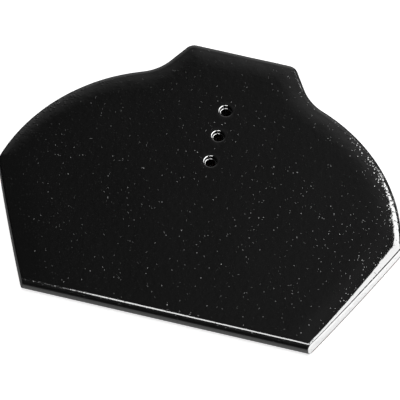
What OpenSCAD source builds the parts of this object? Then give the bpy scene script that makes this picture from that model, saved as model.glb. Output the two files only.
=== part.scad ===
// Ridge end tile: one pressed and fired clay plate that closes the open end of a roof ridge.
// It lies on its flat back. +Z is the glazed front, +Y runs up to the neck, +X to the right.

/* [Overall] */
// Width of the front outline across its two widest corners, in mm
width = 263; // [248:1:278]
// Height from the bottom edge to the top of the neck, in mm
height = 204; // [194:1:214]
// Thickness from the back to the front, in mm
thickness = 12; // [10:0.5:16]

/* [Lower sides] */
// Length of the straight bottom edge, in mm
bottom_width = 183; // [163:1:203]
// Height of the widest corners above the bottom edge, in mm
corner_height = 87; // [79:1:94]
// Outward bow of each lower side at its middle, in mm
side_bow = 0.6; // [0:0.1:2]
// Outward lean of each lower side wall between the front and the back, in mm
side_draft = 0.8; // [0:0.1:2]

/* [Shoulders] */
// Radius of each shoulder curve, in mm
shoulder_radius = 118.5; // [114:0.5:125]
// Slope of the shoulder curve where it ends at the widest corner, in degrees below level
shoulder_end = 79.5; // [77:0.5:83]

/* [Neck] */
// Width of the neck top between its unrounded corners, in mm
neck_width = 70; // [62:1:78]
// Lean of the neck sides from upright, in degrees
neck_lean = 31.5; // [28:0.5:35]
// Plan radius of the two neck top corners, in mm
neck_corner_radius = 7; // [6:0.5:9]
// Radius of the hollow between neck side and shoulder, in mm
neck_foot_radius = 32; // [22:1:36]

/* [Edges] */
// Rounding of the front edge along neck and shoulders, in mm
front_round = 4.5; // [3:0.25:5]
// Rounding of the front edge along the bottom, in mm
bottom_round = 4.5; // [3:0.25:5.5]
// Rounding of the back edge along the bottom, in mm
bottom_back_round = 4.5; // [2:0.25:5]
// Rounding of the front edge at the low end of the lower sides, in mm
side_round = 1.5; // [1:0.25:3]
// Rounding of the back edge along neck, shoulders and lower sides, in mm
back_round = 0.5; // [0.25:0.25:2]

/* [Nail holes] */
// Number of nail holes in the column on the centre line
hole_count = 3; // [1:1:4]
// Bore of each nail hole, in mm
hole_diameter = 6.2; // [5:0.1:6.4]
// Distance between neighbouring nail holes, in mm
hole_pitch = 20; // [16:0.5:24]
// Height of the middle of the column above the bottom edge, in mm
hole_height = 137; // [124:0.5:148]
// Diameter of the wider mouth of each hole, across its upright wall, in mm
mouth_diameter = 7.8; // [7.6:0.1:9]
// Depth of the ledge in the mouth below the front, in mm
mouth_depth = 2.2; // [1.5:0.1:3]
// Rounding of the mouth's edge on the front, in mm
mouth_round = 0.95; // [0.5:0.05:1.25]
// Rounding of the ledge's edge towards the bore, in mm
ledge_round = 0.6; // [0.2:0.1:0.6]

/* [Hidden] */

glaze_black = [0.02, 0.02, 0.022];
hole_steps = 48;
lip_steps = 6;
neck_corner_steps = 8;
neck_foot_steps = 9;
shoulder_steps = 26;
side_steps = 8;
back_steps = 7;
front_steps = 10;

// Lines and centres of the right half of the outline, with the bottom edge at zero height
neck_tip = [neck_width / 2, height];
neck_down = [sin(neck_lean), -cos(neck_lean)];
neck_out = [cos(neck_lean), sin(neck_lean)];
neck_corner_centre = neck_tip - neck_corner_radius * [tan(45 - neck_lean / 2), 1];
widest_corner = [width / 2, corner_height];
bottom_corner = [bottom_width / 2, 0];
shoulder_centre = widest_corner - shoulder_radius * [sin(shoulder_end), cos(shoulder_end)];

// The hollow touches the neck side and the shoulder curve from outside
foot_reach = neck_tip + neck_foot_radius * neck_out - shoulder_centre;
foot_along = foot_reach * neck_down;
foot_gap = foot_reach * foot_reach - pow(shoulder_radius + neck_foot_radius, 2);
foot_run = -foot_along - sqrt(foot_along * foot_along - foot_gap);
foot_centre = neck_tip + foot_run * neck_down + neck_foot_radius * neck_out;
foot_bearing = foot_centre - shoulder_centre;
shoulder_start = atan2(foot_bearing[1], foot_bearing[0]);

// Straight direction, length and outward normal of the right lower side
side_span = bottom_corner - widest_corner;
side_length = norm(side_span);
side_dir = side_span / side_length;
side_out = [-side_dir[1], side_dir[0]];

// The neck corner keeps a little plan radius inside the rounding
soft_round = min(front_round, neck_corner_radius - 0.5);
deepest_round = max(soft_round, bottom_round, side_round);

// The bull nose of the bottom edge keeps a short upright stretch between its two roundings
nose_back = min(bottom_back_round, thickness - deepest_round - 0.5);
deepest_back = max(back_round, nose_back);

// Front rounding, back rounding and outward lean of an edge
soft_edge = [soft_round, back_round, 0];
wide_edge = [soft_round, back_round, side_draft];
side_edge = [side_round, back_round, side_draft];
nose_edge = [bottom_round, nose_back, 0];

function heading(angle) = [cos(angle), sin(angle)];
function blend(a, b, t) = a + (b - a) * t;
function bow_normal(t) =
    let (lean = side_out - side_dir * 4 * side_bow * (1 - 2 * t) / side_length)
    lean / norm(lean);

// One outline point: place, first inset direction and edge, second inset direction and edge
function smooth_point(place, normal, edge) = [place, normal, edge, [0, 0], edge];
function corner_point(place, n1, edge1, n2, edge2) =
    let (turn = n1[0] * n2[1] - n1[1] * n2[0])
    [place, [n2[1], -n2[0]] / turn, edge1, [-n1[1], n1[0]] / turn, edge2];
function mirrored(point) = [
    [-point[0][0], point[0][1]],
    [-point[1][0], point[1][1]],
    point[2],
    [-point[3][0], point[3][1]],
    point[4]
];

neck_corner = [
    for (i = [0 : neck_corner_steps])
        let (out = heading(blend(90, neck_lean, i / neck_corner_steps)))
        smooth_point(neck_corner_centre + neck_corner_radius * out, out, soft_edge)
];
neck_foot = [
    for (i = [0 : neck_foot_steps])
        let (out = heading(blend(neck_lean, shoulder_start, i / neck_foot_steps)))
        smooth_point(foot_centre - neck_foot_radius * out, out, soft_edge)
];
shoulder = [
    for (i = [1 : shoulder_steps - 1])
        let (out = heading(blend(shoulder_start, 90 - shoulder_end, i / shoulder_steps)))
        smooth_point(
            shoulder_centre + shoulder_radius * out,
            out,
            blend(soft_edge, wide_edge, i / shoulder_steps)
        )
];
widest = [
    corner_point(widest_corner, heading(90 - shoulder_end), wide_edge, bow_normal(0), wide_edge)
];
side = [
    for (i = [1 : side_steps - 1])
        let (t = i / side_steps)
        smooth_point(
            blend(widest_corner, bottom_corner, t) + 4 * side_bow * t * (1 - t) * side_out,
            bow_normal(t),
            blend(wide_edge, side_edge, t)
        )
];
lowest = [corner_point(bottom_corner, bow_normal(1), side_edge, [0, -1], nose_edge)];

right_half = concat(neck_corner, neck_foot, shoulder, widest, side, lowest);
right_count = len(right_half);
outline = concat(right_half, [for (i = [right_count - 1 : -1 : 0]) mirrored(right_half[i])]);
count = len(outline);

// Heights of the rings that carry the back and the front rounding
levels = concat(
    [for (i = [0 : back_steps]) deepest_back * (1 - cos(90 * i / back_steps))],
    [for (i = [0 : front_steps]) thickness - deepest_round * (1 - cos(90 - 90 * i / front_steps))]
);

function arc_inset(radius, rise) = radius - sqrt(max(0, radius * radius - rise * rise));
function inset(edge, z) =
    arc_inset(edge[0], max(0, z - thickness + edge[0])) + arc_inset(edge[1], max(0, edge[1] - z))
    - edge[2] * (1 - z / thickness);
function ring_point(point, z) =
    let (place = point[0] - point[1] * inset(point[2], z) - point[3] * inset(point[4], z))
    [place[0], place[1] - height / 2, z];

// Plate with its rounded edges, lofted ring by ring from the back to the front.
// Level strips from the right half of the outline to the left one close the back and the front.
module plate() {
    last = len(levels) - 1;
    points = [for (z = levels) for (point = outline) ring_point(point, z)];
    strips = [for (i = [0 : right_count - 2]) [i, i + 1, count - 2 - i, count - 1 - i]];
    back = [for (strip = strips) [for (i = [3 : -1 : 0]) strip[i]]];
    front = [for (strip = strips) [for (i = strip) last * count + i]];
    wall = [
        for (k = [0 : last - 1])
            for (i = [0 : count - 1])
                let (low = k * count, high = low + count, next = (i + 1) % count)
                each [[low + i, low + next, high + next], [low + i, high + next, high + i]]
    ];
    polyhedron(points, concat(back, front, wall));
}

// Quarter round from an upright hole wall out onto the level face above it
function lip(radius, round, level) = [
    for (i = [0 : lip_steps])
        let (turn = 90 * i / lip_steps)
        [radius + round * (1 - cos(turn)), level - round * (1 - sin(turn))]
];

// Round bore below a wider mouth, with a rounded ledge between them
module nail_hole() {
    bore = hole_diameter / 2;
    mouth = mouth_diameter / 2;
    ledge = thickness - mouth_depth;
    rotate_extrude($fn = hole_steps)
        polygon(concat(
            [[0, -1], [bore, -1]],
            lip(bore, ledge_round, ledge),
            [[mouth, ledge]],
            lip(mouth, mouth_round, thickness),
            [[mouth + mouth_round, thickness + 1], [0, thickness + 1]]
        ));
}

module ridge_end_tile() {
    color(glaze_black)
        difference() {
            plate();
            for (i = [0 : hole_count - 1])
                translate([0, hole_height - height / 2 + hole_pitch * (i - (hole_count - 1) / 2), 0])
                    nail_hole();
        }
}

ridge_end_tile();
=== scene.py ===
"""Looks of a black glazed ridge end tile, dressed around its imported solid.

The tile is one pressed clay plate. Its front, its edges and the mouths of its nail holes carry a
glossy black glaze with small pimples, and its back is bare fired clay. Units are metres.
"""

import logging
import math
import random
from dataclasses import dataclass
from enum import Enum
from typing import Any, Iterable

import bmesh
import bpy
from mathutils import Matrix, Vector, kdtree, noise


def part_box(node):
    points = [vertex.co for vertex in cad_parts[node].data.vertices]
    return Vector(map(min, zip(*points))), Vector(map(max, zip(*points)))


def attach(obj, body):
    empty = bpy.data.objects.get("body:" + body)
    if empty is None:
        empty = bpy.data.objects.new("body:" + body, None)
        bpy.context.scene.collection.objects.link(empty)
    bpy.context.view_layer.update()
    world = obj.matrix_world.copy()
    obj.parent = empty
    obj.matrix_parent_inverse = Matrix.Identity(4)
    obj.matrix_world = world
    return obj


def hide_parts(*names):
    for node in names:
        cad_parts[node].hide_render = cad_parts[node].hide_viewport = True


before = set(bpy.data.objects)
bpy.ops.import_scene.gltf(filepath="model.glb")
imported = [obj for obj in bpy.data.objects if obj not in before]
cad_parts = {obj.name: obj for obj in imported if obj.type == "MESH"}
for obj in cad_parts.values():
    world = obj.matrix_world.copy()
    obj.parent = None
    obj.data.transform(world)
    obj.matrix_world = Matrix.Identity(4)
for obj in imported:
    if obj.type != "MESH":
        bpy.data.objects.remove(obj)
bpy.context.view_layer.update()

MM = 0.001
LOG = logging.getLogger("ridge_end_tile")


class LampUse(Enum):
    """What a lamp is for."""

    MIRRORED = "seen in the glaze only"
    UNSEEN = "lights all matt surfaces"


def linear(code: str) -> tuple[float, float, float, float]:
    """Turns an sRGB hex colour into linear light.

    Args:
        code: Six hex digits, such as "1a1a1c".

    Returns:
        Red, green, blue and an alpha of one.
    """
    values = [int(code[i : i + 2], 16) / 255 for i in (0, 2, 4)]
    bent = [v / 12.92 if v <= 0.04045 else ((v + 0.055) / 1.055) ** 2.4 for v in values]
    return (bent[0], bent[1], bent[2], 1.0)


def add_node(
    tree: bpy.types.NodeTree,
    kind: str,
    settings: dict[str, Any] | None = None,
    **inputs: Any,
) -> bpy.types.Node:
    """Adds one shader node with its settings, values and links.

    Args:
        tree: The node tree that gets the node.
        kind: The node's type without its ShaderNode prefix.
        settings: Properties of the node itself.
        inputs: Values or output sockets for its inputs. An underscore stands for a space, and a name
            such as in_1 means the input with that index.

    Returns:
        The new node.
    """
    node = tree.nodes.new("ShaderNode" + kind)
    for name, value in (settings or {}).items():
        setattr(node, name, value)
    for name, value in inputs.items():
        key = int(name[3:]) if name.startswith("in_") else name.replace("_", " ")
        if isinstance(value, bpy.types.NodeSocket):
            tree.links.new(value, node.inputs[key])
        else:
            node.inputs[key].default_value = value
    return node


@dataclass(frozen=True)
class Domes:
    """Low round domes scattered over a surface.

    Attributes:
        gap_mm: Mean spacing.
        radius_mm: Radius of the largest.
        height_mm: Height of the highest.
        share: Share of the places that carry one.
    """

    gap_mm: float
    radius_mm: float
    height_mm: float
    share: float

    def rise(self, tree: bpy.types.NodeTree, place: bpy.types.NodeSocket) -> bpy.types.NodeSocket:
        """Gives the domes' height, from zero to one.

        Args:
            tree: The material's nodes.
            place: Object coordinates.

        Returns:
            The height at each place.
        """
        cells = add_node(tree, "TexVoronoi", Vector=place, Scale=1 / (self.gap_mm * MM), Randomness=1.0)
        dome = add_node(
            tree,
            "MapRange",
            {"interpolation_type": "SMOOTHSTEP"},
            Value=cells.outputs["Distance"],
            From_Min=self.radius_mm / self.gap_mm,
            From_Max=0.0,
        )
        pick = add_node(tree, "SeparateColor", Color=cells.outputs["Color"])
        there = add_node(tree, "MapRange", Value=pick.outputs["Red"], From_Min=1 - self.share, From_Max=1.0)
        height = add_node(
            tree,
            "Math",
            {"operation": "MULTIPLY"},
            in_0=dome.outputs["Result"],
            in_1=there.outputs["Result"],
        )
        return height.outputs["Value"]


@dataclass(frozen=True)
class GlazedClay:
    """Black glaze fired onto pressed red clay.

    The glaze is glass: nearly black, glossy, and pimpled where grains of clay stand under it, so that
    each pimple turns a glint of the lamp to the eye. The bare back is matt, sandy and brick red.
    """

    name: str = "black_glaze_on_fired_clay"
    glaze: str = "0f0f0f"
    glaze_thin: str = "131313"
    cloud_mm: float = 45.0
    clay: str = "9a5233"
    clay_dark: str = "6f3821"
    sand_mm: float = 0.7
    ior: float = 1.52
    specular: float = 0.5
    glaze_roughness: float = 0.09
    clay_roughness: float = 0.85
    peel_mm: float = 4.0
    peel_height_mm: float = 0.06
    pimples: Domes = Domes(gap_mm=1.7, radius_mm=0.42, height_mm=0.14, share=0.7)
    grains: Domes = Domes(gap_mm=5.0, radius_mm=0.75, height_mm=0.2, share=0.5)
    beads: Domes = Domes(gap_mm=1.9, radius_mm=1.0, height_mm=0.55, share=1.0)
    bare_below_mm: float = 0.15
    creep_mm: float = 0.2
    creep_gap_mm: float = 6.0
    creep_blur_mm: float = 0.05
    foot_mm: float = 1.7
    foot_roughness: float = 0.5
    dry_share: float = 0.7

    def glazed_part(
        self, tree: bpy.types.NodeTree, place: bpy.types.NodeSocket, rise: bpy.types.NodeSocket
    ) -> bpy.types.NodeSocket:
        """Tells glaze from bare clay, which meet in an uneven line on the back arris.

        Args:
            tree: The material's nodes.
            place: Object coordinates.
            rise: Height above the back.

        Returns:
            One on the glaze and zero on the clay.
        """
        creep = add_node(tree, "TexNoise", Vector=place, Scale=1 / (self.creep_gap_mm * MM), Detail=3.0)
        edge = add_node(
            tree,
            "Math",
            {"operation": "MULTIPLY_ADD"},
            in_0=creep.outputs["Fac"],
            in_1=self.creep_mm * MM,
            in_2=(self.bare_below_mm - self.creep_mm / 2) * MM,
        )
        above = add_node(tree, "Math", {"operation": "SUBTRACT"}, in_0=rise, in_1=edge.outputs["Value"])
        blur = self.creep_blur_mm * MM
        part = add_node(tree, "MapRange", Value=above.outputs["Value"], From_Min=-blur, From_Max=blur)
        return part.outputs["Result"]

    def colour(
        self, tree: bpy.types.NodeTree, place: bpy.types.NodeSocket, glazed: bpy.types.NodeSocket
    ) -> bpy.types.NodeSocket:
        """Colours the glass, which is slightly clouded, and the sandy clay.

        Args:
            tree: The material's nodes.
            place: Object coordinates.
            glazed: One on the glaze and zero on the clay.

        Returns:
            The colour at each place.
        """
        cloud = add_node(tree, "TexNoise", Vector=place, Scale=1 / (self.cloud_mm * MM), Detail=4.0)
        black = add_node(
            tree,
            "Mix",
            {"data_type": "RGBA"},
            Factor=cloud.outputs["Fac"],
            in_6=linear(self.glaze),
            in_7=linear(self.glaze_thin),
        )
        sand_scale = 1 / (self.sand_mm * MM)
        sand = add_node(tree, "TexNoise", Vector=place, Scale=sand_scale, Detail=5.0, Roughness=0.6)
        red = add_node(
            tree,
            "Mix",
            {"data_type": "RGBA"},
            Factor=sand.outputs["Fac"],
            in_6=linear(self.clay_dark),
            in_7=linear(self.clay),
        )
        both = add_node(
            tree, "Mix", {"data_type": "RGBA"}, Factor=glazed, in_6=red.outputs[2], in_7=black.outputs[2]
        )
        return both.outputs[2]

    def relief(self, tree: bpy.types.NodeTree, place: bpy.types.NodeSocket) -> bpy.types.NodeSocket:
        """Raises orange peel, pimples and grains in the glass, and beads of it along the rim.

        The tile's relief attribute keeps the holes smooth, and its rim attribute says where beads are.

        Args:
            tree: The material's nodes.
            place: Object coordinates.

        Returns:
            The normal at each place.
        """
        rough = add_node(tree, "Attribute", {"attribute_name": "relief"}).outputs["Fac"]
        rim = add_node(tree, "Attribute", {"attribute_name": "rim"}).outputs["Fac"]
        peel = add_node(tree, "TexNoise", Vector=place, Scale=1 / (self.peel_mm * MM), Detail=2.0)
        beads = add_node(
            tree, "Math", {"operation": "MULTIPLY"}, in_0=self.beads.rise(tree, place), in_1=rim
        )
        layers = (
            (peel.outputs["Fac"], self.peel_height_mm, rough),
            (self.pimples.rise(tree, place), self.pimples.height_mm, rough),
            (self.grains.rise(tree, place), self.grains.height_mm, rough),
            (beads.outputs["Value"], self.beads.height_mm, 1.0),
        )
        below: dict[str, bpy.types.NodeSocket] = {}
        for height, height_mm, strength in layers:
            bump = add_node(
                tree, "Bump", Height=height, Distance=height_mm * MM, Strength=strength, **below
            )
            below = {"Normal": bump.outputs["Normal"]}
        return below["Normal"]

    def material(self) -> bpy.types.Material:
        """Makes the material.

        Returns:
            One material for the whole tile, glazed above the back and bare below.
        """
        made = bpy.data.materials.new(self.name)
        made.use_nodes = True
        tree = made.node_tree
        tree.nodes.clear()
        place = add_node(tree, "TexCoord").outputs["Object"]
        rise = add_node(tree, "SeparateXYZ", Vector=place).outputs["Z"]
        glazed = self.glazed_part(tree, place, rise)

        # Towards the back the glass thins out to a dull dry foot
        shine = add_node(
            tree,
            "MapRange",
            Value=rise,
            From_Min=self.bare_below_mm * MM,
            From_Max=self.foot_mm * MM,
            To_Min=self.foot_roughness,
            To_Max=self.glaze_roughness,
        )
        dry = add_node(
            tree,
            "MapRange",
            Value=rise,
            From_Min=self.dry_share * self.foot_mm * MM,
            From_Max=self.foot_mm * MM,
            To_Max=self.specular,
        )

        # It lies thick in the holes, and thin on the wall of each mouth
        thick = add_node(tree, "Attribute", {"attribute_name": "thick"}).outputs["Fac"]
        sheen = add_node(tree, "Math", {"operation": "MULTIPLY"}, in_0=dry.outputs["Result"], in_1=thick)
        gloss = add_node(
            tree,
            "MapRange",
            Value=glazed,
            To_Min=self.clay_roughness,
            To_Max=shine.outputs["Result"],
        )
        shader = add_node(
            tree,
            "BsdfPrincipled",
            Base_Color=self.colour(tree, place, glazed),
            Roughness=gloss.outputs["Result"],
            IOR=self.ior,
            Specular_IOR_Level=sheen.outputs["Value"],
            Normal=self.relief(tree, place),
        )
        add_node(tree, "OutputMaterial", Surface=shader.outputs["BSDF"])
        return made


def heading(angle: float) -> Vector:
    """Gives the level direction at an angle from +X."""
    return Vector((math.cos(angle), math.sin(angle), 0))


def line(shape: bmesh.types.BMesh, pen: bmesh.types.BMVert, end: Vector) -> bmesh.types.BMVert:
    """Draws a straight edge.

    Args:
        shape: The mesh that is drawn in.
        pen: Where the edge starts.
        end: Where it ends.

    Returns:
        The point at its end.
    """
    made = bmesh.ops.extrude_vert_indiv(shape, verts=[pen])["verts"][0]
    bmesh.ops.translate(shape, verts=[made], vec=end - made.co)
    return made


def arc(
    shape: bmesh.types.BMesh,
    pen: bmesh.types.BMVert,
    centre: Vector,
    angle: float,
    steps: int,
    axis: tuple[float, float, float] = (0, 0, 1),
) -> bmesh.types.BMVert:
    """Draws a round run of edges.

    Args:
        shape: The mesh that is drawn in.
        pen: Where the run starts.
        centre: Its centre.
        angle: How far it turns.
        steps: Number of edges.
        axis: What it turns about.

    Returns:
        The point at its end.
    """
    made = bmesh.ops.spin(shape, geom=[pen], cent=centre, axis=axis, angle=angle, steps=steps)
    return made["geom_last"][0]


def plant(places: list[Vector]) -> kdtree.KDTree:
    """Sorts places so that the nearest is found fast.

    Args:
        places: The places.

    Returns:
        A tree to search.
    """
    tree = kdtree.KDTree(len(places))
    for i, place in enumerate(places):
        tree.insert(place, i)
    tree.balance()
    return tree


def fade(away: float, reach: float) -> float:
    """Falls from one to zero as a distance grows to a reach."""
    return max(0.0, 1 - away / reach)


@dataclass
class EndTile:
    """The one pressed plate of the tile, with its nail holes and its soft glazed edges.

    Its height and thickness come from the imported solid, and the sizes of its outline, edges and holes
    repeat those of its source. The sizes below them are of the glaze and of the mesh.
    """

    node: str = "ridge_end_tile"
    slot: str = "glazed_clay"
    width: float = 263 * MM
    bottom_width: float = 183 * MM
    corner_height: float = 87 * MM
    side_bow: float = 0.6 * MM
    side_draft: float = 0.8 * MM
    shoulder_radius: float = 118.5 * MM
    shoulder_end: float = math.radians(79.5)
    neck_width: float = 70 * MM
    neck_lean: float = math.radians(31.5)
    neck_corner_radius: float = 7 * MM
    neck_foot_radius: float = 32 * MM
    front_round: float = 4.5 * MM
    side_round: float = 1.5 * MM
    nose_round: float = 4.5 * MM
    arris: float = 0.5 * MM
    hole_count: int = 3
    hole_pitch: float = 20 * MM
    hole_height: float = 137 * MM
    bore: float = 3.1 * MM
    mouth: float = 3.9 * MM
    mouth_depth: float = 2.2 * MM
    mouth_round: float = 0.95 * MM
    ledge_round: float = 0.6 * MM

    # Glaze in and around the holes, as shares of the mouth's radius and of the front's gloss
    hole_reach: float = 1.4
    thin_from: float = 0.95
    thin_to: float = 1.07
    hole_gloss: float = 2.0

    # Coarse grains under the glaze
    grain_seed: int = 7
    grain_share: float = 0.33
    grain_radius: float = 0.36 * MM
    grain_height: float = 0.1 * MM
    grain_rings: int = 4
    grain_turn: float = 0.7
    grain_narrowest: float = 0.6
    grain_lowest: float = 0.1
    grain_stray: float = 0.8

    # Fall of the front towards its edge, and the lip and the drips at the lower shoulders
    roll_width: float = 16 * MM
    roll_depth: float = 0.7 * MM
    lip_width: float = 4 * MM
    lip_depth: float = 0.38 * MM
    lip_reach: float = 90 * MM
    lip_rise: float = 22 * MM
    drip_reach: float = 52 * MM
    drip_rise: float = 60 * MM
    wave_length: float = 28 * MM
    wave_height: float = 0.05 * MM
    ripple_length: float = 9 * MM
    ripple_height: float = 0.1 * MM
    still_below: float = 1 * MM

    # Steps of the round stretches, and limits of the mesh
    side_steps: int = 16
    shoulder_steps: int = 40
    neck_foot_steps: int = 16
    neck_corner_steps: int = 14
    front_steps: int = 12
    nose_steps: int = 10
    arris_steps: int = 3
    hole_steps: int = 64
    lip_steps: int = 8
    crease: float = math.radians(25)
    grid: float = 3.0 * MM
    whole_cell: float = 0.99
    corner_share: float = 0.1
    drill_past: float = 1 * MM
    shading_weight: int = 50
    slack: float = 0.05 * MM
    speck: float = 0.01 * MM

    def __post_init__(self) -> None:
        """Works out the corners and centres of the right half of the outline."""
        self.low, self.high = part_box(self.node)
        self.top = self.high.z
        self.widest = Vector((self.width / 2, self.low.y + self.corner_height, 0))
        self.lowest = Vector((self.bottom_width / 2, self.low.y, 0))
        span = self.widest - self.lowest
        self.side_length = span.length
        self.side_way = span.normalized()
        self.side_out = Vector((span.y, -span.x, 0)).normalized()
        self.shoulder_stop = math.pi / 2 - self.shoulder_end
        self.shoulder_centre = self.widest - self.shoulder_radius * heading(self.shoulder_stop)

        # The hollow at the neck's foot touches the neck side and the shoulder from outside
        tip = Vector((self.neck_width / 2, self.high.y, 0))
        self.neck_out = heading(self.neck_lean)
        neck_down = Vector((self.neck_out.y, -self.neck_out.x, 0))
        reach = tip + self.neck_foot_radius * self.neck_out - self.shoulder_centre
        along = reach.dot(neck_down)
        gap = reach.length_squared - (self.shoulder_radius + self.neck_foot_radius) ** 2
        run = -along - math.sqrt(along**2 - gap)
        self.foot_centre = tip + run * neck_down + self.neck_foot_radius * self.neck_out
        bearing = self.foot_centre - self.shoulder_centre
        self.shoulder_start = math.atan2(bearing.y, bearing.x)
        inset = Vector((math.tan(math.pi / 4 - self.neck_lean / 2), 1, 0))
        self.neck_corner_centre = tip - self.neck_corner_radius * inset

    def build(self) -> bpy.types.Object:
        """Models the plate.

        Returns:
            The plate's object, at the origin.
        """
        shape = bmesh.new()
        self.draw_outline(shape)
        self.round_front(shape)
        self.taper_sides(shape)
        self.drop_walls(shape)
        self.lean_walls(shape)
        self.round_back(shape)
        self.soften(shape)
        self.split_edges(shape)
        shape = self.drill(shape)
        self.rule_front(shape)
        self.raise_grains(shape)
        self.mark_holes(shape)
        self.settle(shape)
        for face in shape.faces:
            face.smooth = True
        tile = self.piece("end_tile", shape)
        even = tile.modifiers.new("even_shading", "WEIGHTED_NORMAL")
        even.weight = self.shading_weight
        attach(tile, "root")
        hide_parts(self.node)
        return tile

    def piece(self, name: str, shape: bmesh.types.BMesh) -> bpy.types.Object:
        """Makes an object of a mesh.

        Args:
            name: The object's name.
            shape: The mesh, which is used up.

        Returns:
            The object, at the origin.
        """
        mesh = bpy.data.meshes.new(name)
        shape.to_mesh(mesh)
        shape.free()
        made = bpy.data.objects.new(name, mesh)
        bpy.context.scene.collection.objects.link(made)
        return made

    def draw_outline(self, shape: bmesh.types.BMesh) -> None:
        """Draws the plate's outline as one face, at the level where the front rounding starts.

        Args:
            shape: An empty mesh.
        """
        level = Vector((0, 0, self.top - self.front_round))

        # The lower side bows out a little
        side_radius = self.side_length**2 / (8 * self.side_bow) + self.side_bow / 2
        side_centre = (self.widest + self.lowest) / 2 + (self.side_bow - side_radius) * self.side_out
        side_angle = 2 * math.asin(self.side_length / (2 * side_radius))
        shoulder_angle = self.shoulder_start - self.shoulder_stop
        neck_end = self.neck_corner_centre + self.neck_corner_radius * self.neck_out
        neck_corner_angle = math.pi / 2 - self.neck_lean

        # The foot's hollow turns the other way round from the other arcs
        foot_angle = self.neck_lean - self.shoulder_start

        pen = shape.verts.new(level + Vector((0, self.low.y, 0)))
        pen = line(shape, pen, level + self.lowest)
        pen = arc(shape, pen, level + side_centre, side_angle, self.side_steps)
        pen = arc(shape, pen, level + self.shoulder_centre, shoulder_angle, self.shoulder_steps)
        pen = arc(shape, pen, level + self.foot_centre, foot_angle, self.neck_foot_steps)
        pen = line(shape, pen, level + neck_end)
        pen = arc(shape, pen, level + self.neck_corner_centre, neck_corner_angle, self.neck_corner_steps)
        line(shape, pen, level + Vector((0, self.high.y, 0)))
        half = [*shape.verts, *shape.edges]
        bmesh.ops.mirror(shape, geom=half, matrix=Matrix.Identity(4), merge_dist=self.speck, axis="X")
        bmesh.ops.contextual_create(shape, geom=shape.edges[:])
        if shape.faces[:][0].normal.z < 0:
            bmesh.ops.reverse_faces(shape, faces=shape.faces[:])

    def round_front(self, shape: bmesh.types.BMesh) -> None:
        """Rounds the front edge all the way round, ring by ring.

        Args:
            shape: The outline's face.
        """
        shape.faces.ensure_lookup_table()
        front = shape.faces[0]
        turns = [math.pi / 2 * (1 - i / self.front_steps) for i in range(self.front_steps + 1)]
        for start, end in zip(turns, turns[1:]):
            bmesh.ops.inset_region(
                shape,
                faces=[front],
                thickness=self.front_round * (math.sin(start) - math.sin(end)),
                depth=self.front_round * (math.cos(end) - math.cos(start)),
                use_boundary=True,
                use_even_offset=True,
            )

    def round_inset(self, radius: float, vert: bmesh.types.BMVert) -> float:
        """Gives how far a front rounding of that radius lies inside the outline at a point's height."""
        rise = max(0.0, vert.co.z - self.top + radius)
        return radius - math.sqrt(max(0.0, radius**2 - rise**2))

    def push_out(self, vert: bmesh.types.BMVert, out: Vector, amount: float) -> None:
        """Moves a point of the rounding or the wall outwards.

        Args:
            vert: The point. At a bottom corner it slides along the bottom edge instead.
            out: The level direction out of the plate there.
            amount: How far the side moves.
        """
        if abs(vert.co.y - self.low.y - self.round_inset(self.front_round, vert)) < self.speck:
            out = Vector((math.copysign(1 / self.side_out.x, vert.co.x), 0, 0))
        vert.co += out * amount

    def taper_sides(self, shape: bmesh.types.BMesh) -> None:
        """Makes the front rounding of the lower sides smaller towards the bottom corners.

        Args:
            shape: The front with its rounding.
        """
        for vert in shape.verts:
            place = Vector((abs(vert.co.x), vert.co.y, 0)) - self.lowest
            share = place.dot(self.side_way) / self.side_length
            bow = 4 * self.side_bow * share * (1 - share)
            now = self.round_inset(self.front_round, vert)
            if not -self.corner_share < share < 1 or abs(bow - place.dot(self.side_out) - now) > self.slack:
                continue
            radius = self.side_round + (self.front_round - self.side_round) * max(share, 0.0)
            out = Vector((math.copysign(self.side_out.x, vert.co.x), self.side_out.y, 0))
            self.push_out(vert, out, now - self.round_inset(radius, vert))

    def drop_walls(self, shape: bmesh.types.BMesh) -> None:
        """Drops the walls to the ground and closes the back.

        Args:
            shape: The front with its rounding.
        """
        rim = [e for e in shape.edges if e.is_boundary]
        made = bmesh.ops.extrude_edge_only(shape, edges=rim)["geom"]
        foot = [g for g in made if isinstance(g, bmesh.types.BMVert)]
        bmesh.ops.translate(shape, verts=foot, vec=(0, 0, self.front_round - self.top))
        bmesh.ops.contextual_create(shape, geom=[e for e in shape.edges if e.is_boundary])
        bmesh.ops.recalc_face_normals(shape, faces=shape.faces[:])

    def lean_walls(self, shape: bmesh.types.BMesh) -> None:
        """Leans the lower side walls out towards the back, and the shoulders less up to the neck.

        Args:
            shape: The plate with upright walls.
        """
        shape.normal_update()
        for vert in shape.verts:
            arm = Vector((abs(vert.co.x), vert.co.y, 0)) - self.shoulder_centre
            turn = math.atan2(arm.y, arm.x) if vert.co.y > self.widest.y else self.shoulder_stop
            share = (self.shoulder_start - turn) / (self.shoulder_start - self.shoulder_stop)
            out = Vector((vert.normal.x, vert.normal.y, 0))
            if abs(vert.co.x) > self.speck and out.length > 0 and share > 0:
                depth = 1 - vert.co.z / self.top
                self.push_out(vert, out.normalized(), self.side_draft * min(share, 1.0) * depth)

    def round_back(self, shape: bmesh.types.BMesh) -> None:
        """Rounds the bottom's back edge, so that the bottom becomes a bull nose.

        Args:
            shape: The plate with a sharp back edge.
        """
        low = Vector((0, self.low.y, 0))
        nose = [e for e in shape.edges if all((v.co - low).yz.length < self.speck for v in e.verts)]
        bmesh.ops.bevel(
            shape,
            geom=nose,
            offset=self.nose_round,
            affect="EDGES",
            segments=self.nose_steps,
            profile=0.5,
            material=-1,
        )

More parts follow.
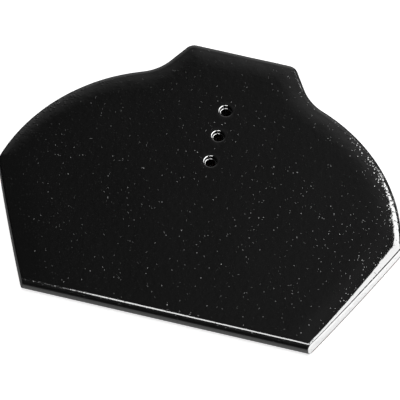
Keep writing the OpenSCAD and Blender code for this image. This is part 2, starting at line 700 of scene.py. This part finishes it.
    def soften(self, shape: bmesh.types.BMesh) -> None:
        """Rounds the rest of the back edge and every crease that is left a little, as glaze does.

        Args:
            shape: The plate's mesh.
        """
        creases = [e for e in shape.edges if e.is_manifold and e.calc_face_angle() > self.crease]
        bmesh.ops.bevel(
            shape,
            geom=creases,
            offset=self.arris,
            affect="EDGES",
            segments=self.arris_steps,
            profile=0.5,
            material=-1,
        )

    def split_edges(self, shape: bmesh.types.BMesh) -> None:
        """Splits the long edges that run along the outline, so that the glaze can lie unevenly on them.

        Args:
            shape: The plate with its soft edges.
        """
        while True:
            level = [e for e in shape.edges if abs(e.verts[0].co.z - e.verts[1].co.z) < self.speck]
            long = [e for e in level if e.calc_length() > self.grid]
            if not long:
                return
            bmesh.ops.subdivide_edges(shape, edges=long, cuts=1)

    def hole_places(self) -> list[float]:
        """Gives the y of each nail hole, from the lowest up."""
        first = self.low.y + self.hole_height - self.hole_pitch * (self.hole_count - 1) / 2
        return [first + self.hole_pitch * i for i in range(self.hole_count)]

    def from_holes(self, place: Vector) -> float:
        """Gives how far a place is from the axis of the nearest nail hole."""
        return min((place.xy - Vector((0, y))).length for y in self.hole_places())

    def drill(self, shape: bmesh.types.BMesh) -> bmesh.types.BMesh:
        """Cuts the nail holes, each a bore below a wider mouth with a rounded ledge.

        Args:
            shape: The plate's mesh, which is used up.

        Returns:
            The plate with its holes.
        """
        first, *others = self.hole_places()
        ledge = self.top - self.mouth_depth
        drill = bmesh.new()

        def at(radius: float, z: float) -> Vector:
            """Gives a point of the hole's profile."""
            return Vector((radius, first, z))

        pen = drill.verts.new(at(0, -self.drill_past))
        pen = line(drill, pen, at(self.bore, -self.drill_past))
        for radius, rounding, level in (
            (self.bore, self.ledge_round, ledge),
            (self.mouth, self.mouth_round, self.top),
        ):
            centre = at(radius + rounding, level - rounding)
            pen = line(drill, pen, at(radius, level - rounding))
            pen = arc(drill, pen, centre, math.pi / 2, self.lip_steps, (0, 1, 0))
            if level < self.top:
                pen = line(drill, pen, at(self.mouth, level))
        pen = line(drill, pen, at(self.mouth + self.mouth_round, self.top + self.drill_past))
        line(drill, pen, at(0, self.top + self.drill_past))
        bmesh.ops.spin(
            drill,
            geom=[*drill.verts, *drill.edges],
            cent=at(0, 0),
            axis=(0, 0, 1),
            angle=2 * math.pi,
            steps=self.hole_steps,
            use_merge=True,
        )
        bmesh.ops.remove_doubles(drill, verts=drill.verts, dist=0.1 * self.speck)
        bmesh.ops.recalc_face_normals(drill, faces=drill.faces[:])
        one = [*drill.verts, *drill.edges, *drill.faces]
        for y in others:
            copy = bmesh.ops.duplicate(drill, geom=one)["geom"]
            moved = [g for g in copy if isinstance(g, bmesh.types.BMVert)]
            bmesh.ops.translate(drill, verts=moved, vec=(0, y - first, 0))

        plate, cutter = self.piece("plate", shape), self.piece("drill", drill)
        cut = plate.modifiers.new("holes", "BOOLEAN")
        cut.operation, cut.solver, cut.object = "DIFFERENCE", "EXACT", cutter
        finished = plate.evaluated_get(bpy.context.evaluated_depsgraph_get())
        drilled = bpy.data.meshes.new_from_object(finished)
        holed = bmesh.new()
        holed.from_mesh(drilled)
        for used in (plate, cutter):
            bpy.data.meshes.remove(used.data)
        bpy.data.meshes.remove(drilled)
        return holed

    def front_faces(self, shape: bmesh.types.BMesh) -> list[bmesh.types.BMFace]:
        """Lists the faces of the flat front.

        Args:
            shape: The plate's mesh.

        Returns:
            The faces that lie level at the plate's top.
        """
        lowest = self.top - self.speck
        return [f for f in shape.faces if all(v.co.z > lowest for v in f.verts)]

    def front_edge(self, shape: bmesh.types.BMesh) -> list[Vector]:
        """Lists the points along the outer edge of the flat front.

        Args:
            shape: The plate's mesh.

        Returns:
            The points, without those around the nail holes.
        """
        front = self.front_faces(shape)
        flat = set(front)
        rim = {v for f in front for e in f.edges if not flat.issuperset(e.link_faces) for v in e.verts}
        clear = 2 * self.mouth
        return [v.co.copy() for v in shape.verts if v in rim and self.from_holes(v.co) > clear]

    def rule_front(self, shape: bmesh.types.BMesh) -> None:
        """Cuts the front face into a square grid.

        Args:
            shape: The plate's mesh.
        """
        for axis in (0, 1):
            steps = int((self.high[axis] - self.low[axis]) / self.grid)
            normal = Vector((axis == 0, axis == 1, 0))
            for i in range(1, steps):
                geom = list({g for f in self.front_faces(shape) for g in (f, *f.edges, *f.verts)})
                place = self.low + normal * i * self.grid
                bmesh.ops.bisect_plane(shape, geom=geom, dist=self.speck, plane_co=place, plane_no=normal)

    def raise_grains(self, shape: bmesh.types.BMesh) -> None:
        """Raises low domes where coarse grains of the clay stand under the glaze.

        Args:
            shape: The plate's mesh, with its front cut into a grid.
        """
        draw = random.Random(self.grain_seed)
        whole = self.whole_cell * self.grid**2
        cells = [f for f in self.front_faces(shape) if len(f.verts) == 4 and f.calc_area() > whole]
        cells.sort(key=lambda f: tuple(round(2 * c / self.grid) for c in f.calc_center_median()))
        domes = [f for f in cells if draw.random() < self.grain_share]
        room = self.grid / 2 - self.grain_radius
        bmesh.ops.inset_individual(shape, faces=domes, thickness=room, use_even_offset=True)
        rings = [[*f.verts] for f in domes]
        rises = [math.sin(math.pi / 2 * i / self.grain_rings) ** 2 for i in range(self.grain_rings + 1)]
        for low, high in zip(rises, rises[1:]):
            bmesh.ops.inset_individual(
                shape,
                faces=domes,
                thickness=self.grain_radius / (self.grain_rings + 1),
                depth=self.grain_height * (high - low),
                use_even_offset=True,
            )
            for ring, dome in zip(rings, domes):
                ring.extend(dome.verts)

        # No two grains are alike in turn, size, height and place
        for ring in rings:
            centre = sum((v.co for v in ring[:4]), Vector()) / 4
            turn = Matrix.Rotation(draw.uniform(-self.grain_turn, self.grain_turn), 3, "Z")
            width = draw.uniform(self.grain_narrowest, 1.0)
            height = width * (self.grain_lowest + draw.random() ** 2)
            shift = Vector((draw.uniform(-room, room), draw.uniform(-room, room), 0)) * self.grain_stray
            for vert in ring:
                arm = turn @ (vert.co - centre)
                vert.co = centre + shift + Vector((arm.x * width, arm.y * width, arm.z * height))

    def mark_holes(self, shape: bmesh.types.BMesh) -> None:
        """Marks how the glaze lies in the nail holes, for the finish to read.

        The attribute relief is zero in the holes, where the glass is smooth. The attribute thick is the
        share of the front's gloss: high in the holes, and zero on the upright wall of each mouth.

        Args:
            shape: The plate's mesh.
        """
        relief = shape.verts.layers.float.new("relief")
        thick = shape.verts.layers.float.new("thick")
        for vert in shape.verts:
            away = self.from_holes(vert.co) / self.mouth
            drilled = away < self.hole_reach
            vert[relief] = float(not drilled)
            vert[thick] = self.hole_gloss if drilled else 1.0
            if self.thin_from < away < self.thin_to:
                vert[thick] = 0.0

    def shoulder_place(self, rise: float) -> Vector:
        """Gives the place on the right shoulder at a run above the widest corner."""
        turn = self.shoulder_stop + rise / self.shoulder_radius
        return self.shoulder_centre + self.shoulder_radius * heading(turn)

    def settle(self, shape: bmesh.types.BMesh) -> None:
        """Rolls the front down towards its edge, except at the bottom, and makes the glaze uneven.

        The glaze lies in slow waves everywhere and in ripples where it has gathered along the edge. At
        the lower shoulders the edge falls further, in a lip that runs on over the rounding. The
        attribute rim says where beads of glaze hang along the edge.

        Args:
            shape: The plate's mesh.
        """
        edge = self.front_edge(shape)
        edges = plant(edge)
        rolls = plant([co for co in edge if co.y > self.low.y + 2 * self.front_round])
        rim = shape.verts.layers.float.new("rim")
        shape.normal_update()
        start = self.top - self.front_round
        slope = 3 * self.roll_depth / self.roll_width + 2 * self.lip_depth / self.lip_width
        swollen, dripped = self.shoulder_place(self.lip_rise), self.shoulder_place(self.drip_rise)
        for vert in shape.verts:
            if vert.co.z < self.still_below:
                continue

            # A point of the rounding follows the nearest point of the front's edge
            spot, over = Vector((vert.co.x, vert.co.y, self.top)), 0.0
            drilled = self.from_holes(vert.co) < self.hole_reach * self.mouth
            if vert.co.z < self.top - self.speck and not drilled:
                spot, _, over = edges.find(spot)
            away = rolls.find(spot)[2]
            near = fade(away, self.roll_width)
            lip = fade(away, self.lip_width)
            half = Vector((abs(spot.x), spot.y, 0))
            swell = fade((half - swollen).length, self.lip_reach)
            drips = fade((half - dripped).length, self.drip_reach)
            share = min(1.0, max(0.0, vert.co.z - start) / self.front_round)
            vert[rim] = share * lip * drips

            wave = self.wave_height * noise.noise(vert.co / self.wave_length)
            ripple = self.ripple_height * noise.noise(vert.co / self.ripple_length) * share * near**2
            vert.co += vert.normal * (wave + ripple)
            drop = self.roll_depth * near**3 + self.lip_depth * lip**2 * swell
            drop += slope * swell * over * (1 - over / (2 * self.front_round))
            vert.co.z -= share * drop

    def dress(self, tile: bpy.types.Object, finish: GlazedClay) -> None:
        """Gives the plate its finish.

        Args:
            tile: The plate's object.
            finish: The glaze and clay.
        """
        tile.data.materials.clear()
        tile.data.materials.append(finish.material())


@dataclass(frozen=True)
class Lamp:
    """A flat soft lamp.

    Attributes:
        name: What it is called.
        place: Its middle.
        aim: The point that it faces.
        size: Its width and height.
        lean: How far it is turned in its own plane.
        brightness: Its radiance, where one is white paper in full light.
        use: What it is for.
    """

    name: str
    place: tuple[float, float, float]
    aim: tuple[float, float, float]
    size: tuple[float, float]
    lean: float
    brightness: float
    use: LampUse

    def build(self) -> bpy.types.Object:
        """Makes the lamp.

        Returns:
            The lamp's object.
        """
        data = bpy.data.lights.new(self.name, "AREA")
        data.shape = "RECTANGLE"
        data.size, data.size_y = self.size
        data.energy = self.brightness * math.pi * self.size[0] * self.size[1]
        lamp = bpy.data.objects.new(self.name, data)
        bpy.context.scene.collection.objects.link(lamp)
        away = Vector(self.place) - Vector(self.aim)
        turn = away.to_track_quat("Z", "Y").to_matrix().to_4x4()
        lamp.matrix_world = Matrix.Translation(self.place) @ turn @ Matrix.Rotation(self.lean, 4, "Z")
        lamp.visible_camera = False
        lamp.visible_glossy = self.use is LampUse.MIRRORED
        lamp.visible_diffuse = self.use is LampUse.UNSEEN
        return lamp


@dataclass(frozen=True)
class Ramp:
    """A brightness that goes from low to high as a direction's part on an axis goes from start to end."""

    axis: str
    start: float
    end: float
    low: float
    high: float


@dataclass(frozen=True)
class DimRoom:
    """The room around the tile, which is seen only in the glaze.

    The table in front of the tile fades away from it, the table at its right takes the glare of the
    softbox, and the wall behind it is a little pale, under a haze that is weaker to the left.
    """

    table_low: Ramp = Ramp("Z", -0.3, -0.98, 0.0, 1.15)
    table_near: Ramp = Ramp("Y", -0.1, -0.55, 0.18, 0.8)
    glare_top: Ramp = Ramp("Z", -0.16, -0.3, 0.0, 11.0)
    glare_left: Ramp = Ramp("X", 0.3, 0.8, 0.0, 1.0)
    glare_back: Ramp = Ramp("Y", 0.92, 0.7, 0.0, 1.0)
    glare_foot: Ramp = Ramp("Z", -0.93, -0.8, 0.0, 1.0)
    wall_back: Ramp = Ramp("Y", 0.56, 1.0, 0.0, 0.9)
    wall_foot: Ramp = Ramp("Z", -0.25, 0.05, 0.0, 1.0)
    haze_left: Ramp = Ramp("X", -0.165, -0.01, 0.045, 0.23)
    haze_foot: Ramp = Ramp("Z", 0.0, 0.3, 0.0, 1.0)
    back_right: Ramp = Ramp("X", 0.05, 0.35, 1.0, 0.35)

    def world(self) -> bpy.types.World:
        """Makes the room's light.

        Returns:
            The world.
        """
        world = bpy.data.worlds.new("dim_room")
        world.use_nodes = True
        tree = world.node_tree
        tree.nodes.clear()
        way = add_node(tree, "SeparateXYZ", Vector=add_node(tree, "TexCoord").outputs["Generated"]).outputs

        def level(part: Ramp | bpy.types.NodeSocket) -> bpy.types.NodeSocket:
            """Gives the brightness of a ramp, or one that is worked out already.

            Args:
                part: The ramp or brightness.

            Returns:
                The brightness in each direction.
            """
            if isinstance(part, bpy.types.NodeSocket):
                return part
            made = add_node(
                tree,
                "MapRange",
                Value=way[part.axis],
                From_Min=part.start,
                From_Max=part.end,
                To_Min=part.low,
                To_Max=part.high,
            )
            return made.outputs["Result"]

        def join(operation: str, *parts: Ramp | bpy.types.NodeSocket) -> bpy.types.NodeSocket:
            """Adds or multiplies brightnesses.

            Args:
                operation: The Math node's operation.
                parts: Ramps, or brightnesses that are worked out already.

            Returns:
                The brightness in each direction.
            """
            total, *others = [level(part) for part in parts]
            for other in others:
                both = add_node(tree, "Math", {"operation": operation}, in_0=total, in_1=other)
                total = both.outputs["Value"]
            return total

        low = level(self.table_low)
        front = join("MULTIPLY", low, low, low, low, self.table_near)
        right = join("MULTIPLY", self.glare_top, self.glare_left, self.glare_back, self.glare_foot)
        wall = join("MULTIPLY", self.wall_back, self.wall_foot)
        haze = join("MULTIPLY", self.haze_left, self.haze_foot)
        behind = join("MULTIPLY", join("ADD", wall, haze), self.back_right)
        glow = join("ADD", front, right, behind)
        back = add_node(tree, "Background", Color=(1.0, 1.0, 1.0, 1.0), Strength=glow)
        add_node(tree, "OutputWorld", Surface=back.outputs["Background"])
        return world


@dataclass(frozen=True)
class Board:
    """A round matt board under the tile.

    Attributes:
        name: What it is called.
        radius: Its radius.
        place: Its middle.
        colour: Its sRGB hex colour.
        glow: How brightly light from below shines through.
        roughness: How matt it is.
        sides: Number of its straight edges.
    """

    name: str
    radius: float
    place: tuple[float, float, float]
    colour: str
    glow: float = 0.0
    roughness: float = 0.9
    sides: int = 96

    def build(self) -> bpy.types.Object:
        """Lays the board.

        Returns:
            The board's object.
        """
        shape = bmesh.new()
        shift = Matrix.Translation(self.place)
        bmesh.ops.create_circle(
            shape, cap_ends=True, segments=self.sides, radius=self.radius, matrix=shift
        )
        mesh = bpy.data.meshes.new(self.name)
        shape.to_mesh(mesh)
        shape.free()
        disc = bpy.data.objects.new(self.name, mesh)
        bpy.context.scene.collection.objects.link(disc)
        board = bpy.data.materials.new(self.name)
        board.use_nodes = True
        sockets = board.node_tree.nodes["Principled BSDF"].inputs
        sockets["Base Color"].default_value = linear(self.colour)
        sockets["Emission Color"].default_value = linear(self.colour)
        sockets["Emission Strength"].default_value = self.glow
        sockets["Roughness"].default_value = self.roughness
        sockets["Specular IOR Level"].default_value = 0.0
        mesh.materials.append(board)
        return disc


@dataclass
class Studio:
    """A pale sheet lit from below, soft lamps in a dim room, and the camera of the photograph.

    The glaze doesn't mirror the sheet, and a black card under it is painted shade: the glaze mirrors it
    down the nail holes, in place of the dark beneath the tile.
    """

    room: DimRoom = DimRoom()
    sheet: Board = Board("pale_sheet", 12.0, (0.0, 0.0, 0.0), "f2f2f2", glow=0.8)
    # Painted shade: a black card under the sheet, seen only in the glaze down the nail holes
    card: Board = Board("painted_shade_card", 50 * MM, (0.0, 35 * MM, -0.2 * MM), "010101")
    lamps: tuple[Lamp, ...] = (
        Lamp(
            "right_softbox", (0.75, 0.5, 0.95), (0.0, 0.5, 0.95), (2.1, 1.23), 0.3, 20.0, LampUse.MIRRORED
        ),
        Lamp(
            "front_strip", (0.13, -0.62, 0.66), (0.13, -0.1, 0.0), (0.6, 0.46), 0.0, 19.0, LampUse.MIRRORED
        ),
        Lamp(
            "overhead_fill", (0.0, 0.0, 2.5), (0.0, 0.0, 0.0), (3.0, 3.0), 0.0, 1.5, LampUse.UNSEEN
        ),
    )
    azimuth: float = math.radians(12.21)
    elevation: float = math.radians(57.35)
    roll: float = math.radians(2.42)
    aim: tuple[float, float, float] = (-0.15 * MM, -11.43 * MM, 6.0 * MM)
    distance: float = 2449 * MM
    lens: float = 347.7
    sensor: float = 36.0
    nearest: float = 0.1
    farthest: float = 60.0

    def build(self) -> None:
        """Lays the sheet, hangs the lamps and sets the camera."""
        scene = bpy.context.scene
        scene.view_settings.view_transform = "Standard"
        scene.world = self.room.world()
        sheet = self.sheet.build()
        sheet.visible_glossy = False
        sheet.visible_shadow = False
        self.card.build()
        for lamp in self.lamps:
            lamp.build()
        scene.camera = self.camera()

    def camera(self) -> bpy.types.Object:
        """Stands the camera where the photograph was taken from.

        Returns:
            The camera's object.
        """
        a, e = self.azimuth, self.elevation
        back = Vector((math.sin(a) * math.cos(e), -math.cos(a) * math.cos(e), math.sin(e)))
        level = Vector((0, 0, 1)).cross(back).normalized()
        above = back.cross(level)
        right = level * math.cos(self.roll) + above * math.sin(self.roll)
        up = back.cross(right)
        data = bpy.data.cameras.new("camera")
        data.lens = self.lens
        data.sensor_width = self.sensor
        data.clip_start, data.clip_end = self.nearest, self.farthest
        camera = bpy.data.objects.new("camera", data)
        bpy.context.scene.collection.objects.link(camera)
        turn = Matrix((right, up, back)).transposed().to_4x4()
        camera.matrix_world = Matrix.Translation(Vector(self.aim) + back * self.distance) @ turn
        return camera


def main() -> None:
    """Builds the tile and its studio."""
    logging.basicConfig(level=logging.INFO, format="%(name)s: %(message)s")
    tile = EndTile()
    plate = tile.build()
    tile.dress(plate, GlazedClay())
    LOG.info("%s: %d faces", plate.name, len(plate.data.polygons))
    Studio().build()
    LOG.info("studio ready")


if __name__ == "__main__":
    main()
